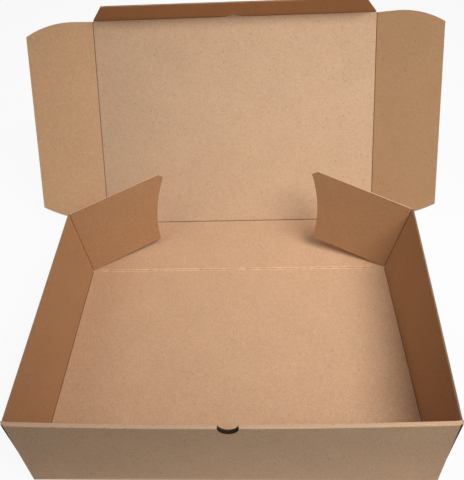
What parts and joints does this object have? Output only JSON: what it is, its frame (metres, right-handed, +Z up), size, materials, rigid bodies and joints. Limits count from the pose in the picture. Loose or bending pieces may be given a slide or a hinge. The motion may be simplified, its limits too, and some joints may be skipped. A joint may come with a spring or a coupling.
{
  "type": "shipping box",
  "caption": "Open roll-front shipping box of corrugated card: tray with rolled double front wall and thumb notch, hinged lid with dust flaps, tuck flap and pull tab, loose rear corner flaps.",
  "frame": {"origin": "middle of the bottom panel's underside, where the box rests", "axes": "+Z up, +X to the right when facing the front wall, +Y from the front wall to the lid"},
  "size_m": [0.6012, 0.5784, 0.3048],
  "materials": {
    "board": "matte uncoated brown kraft liner"
  },
  "bodies": {
    "tray": {"tray": "board"},
    "lid": {"lid": "board"},
    "left_dust_flap": {"left_dust_flap": "board"},
    "right_dust_flap": {"right_dust_flap": "board"},
    "tuck_flap": {"tuck_flap": "board"},
    "left_corner_flap": {"left_corner_flap": "board"},
    "right_corner_flap": {"right_corner_flap": "board"}
  },
  "joints": [
    {"name": "lid_hinge", "type": "hinge", "parent": "tray", "child": "lid", "pos_m": [0, 0.2674, 0.0016], "axis": [1, 0, 0], "range_deg": [-61.8, 28.2]},
    {"name": "left_dust_crease", "type": "hinge", "parent": "lid", "child": "left_dust_flap", "pos_m": [-0.2105, 0.33828, 0.1338], "axis": [0, 0.4726, 0.8813], "range_deg": [-12, 78]},
    {"name": "right_dust_crease", "type": "hinge", "parent": "lid", "child": "right_dust_flap", "pos_m": [0.2105, 0.33828, 0.1338], "axis": [0, -0.4726, -0.8813], "range_deg": [-32, 58]},
    {"name": "tuck_crease", "type": "hinge", "parent": "lid", "child": "tuck_flap", "pos_m": [0, 0.41342, 0.27392], "axis": [1, 0, 0], "range_deg": [-70, 20]},
    {"name": "left_corner_crease", "type": "hinge", "parent": "tray", "child": "left_corner_flap", "pos_m": [-0.2134, 0.158, 0.0016], "axis": [0.1063, 0, -0.9943], "range_deg": [-40.5, 31.5]},
    {"name": "right_corner_crease", "type": "hinge", "parent": "tray", "child": "right_corner_flap", "pos_m": [0.2134, 0.158, 0.0016], "axis": [0.2113, 0, 0.9774], "range_deg": [-49, 23]}
  ]
}
